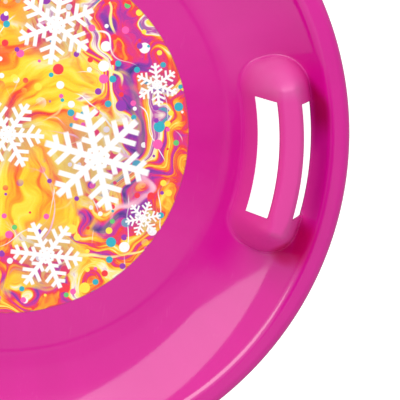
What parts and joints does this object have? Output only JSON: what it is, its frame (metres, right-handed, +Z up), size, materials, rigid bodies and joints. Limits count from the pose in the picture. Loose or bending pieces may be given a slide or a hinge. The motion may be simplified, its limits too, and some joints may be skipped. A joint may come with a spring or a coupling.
{
  "type": "saucer sled",
  "caption": "Round shallow snow saucer of glossy plastic with a rolled rim, raised hollow hand grips and a printed label in the floor.",
  "frame": {"origin": "middle of the flat underside, on the ground", "axes": "+Z up out of the dish, +X through the right hand grip, +Y along its bar"},
  "size_m": [0.5999, 0.6, 0.077],
  "materials": {
    "pan_plastic": "glossy moulded polyolefin",
    "label_print": "printed in-mould film"
  },
  "bodies": {
    "root": {"pan_floor": "pan_plastic", "pan_wall": "pan_plastic", "rolled_rim": "pan_plastic", "right_grip_bar": "pan_plastic", "right_grip_sill": "pan_plastic", "right_grip_front_dome": "pan_plastic", "right_grip_rear_dome": "pan_plastic", "left_grip_bar": "pan_plastic", "left_grip_sill": "pan_plastic", "left_grip_front_dome": "pan_plastic", "left_grip_rear_dome": "pan_plastic", "centre_label": "label_print"}
  },
  "joints": []
}
